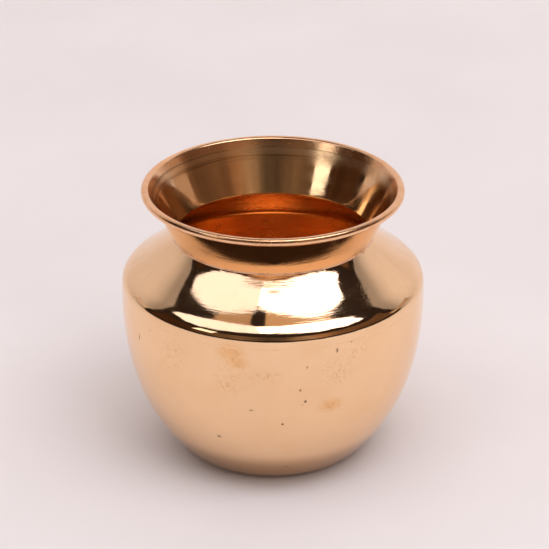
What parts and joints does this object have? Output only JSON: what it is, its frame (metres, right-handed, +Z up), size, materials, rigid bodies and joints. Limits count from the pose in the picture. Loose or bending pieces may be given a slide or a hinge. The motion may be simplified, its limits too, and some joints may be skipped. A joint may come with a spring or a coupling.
{
  "type": "kalash water pot",
  "caption": "Round-bellied metal water pot with a sloping shoulder, a flared neck and a rolled lip, brazed from thin sheet; it holds, carries and pours water.",
  "frame": {"origin": "centre of the base, on the surface that the pot stands on", "axes": "+Z up along the pot's own axis of revolution; X and Y are any two level directions, because the pot is the same all round"},
  "size_m": [0.1088, 0.1088, 0.1016],
  "materials": {
    "pot_metal": "polished copper-coloured brass with light turning marks, small pits and stains",
    "braze": "brazing alloy, filed and polished flush with the sheet",
    "lip_wire": "drawn yellow brass wire, dull inside the rolled lip"
  },
  "bodies": {
    "root": {"belly_bowl": "pot_metal", "shoulder": "pot_metal", "neck_collar": "pot_metal", "rim_wire": "lip_wire", "neck_braze": "braze", "belly_braze": "braze"}
  },
  "joints": []
}
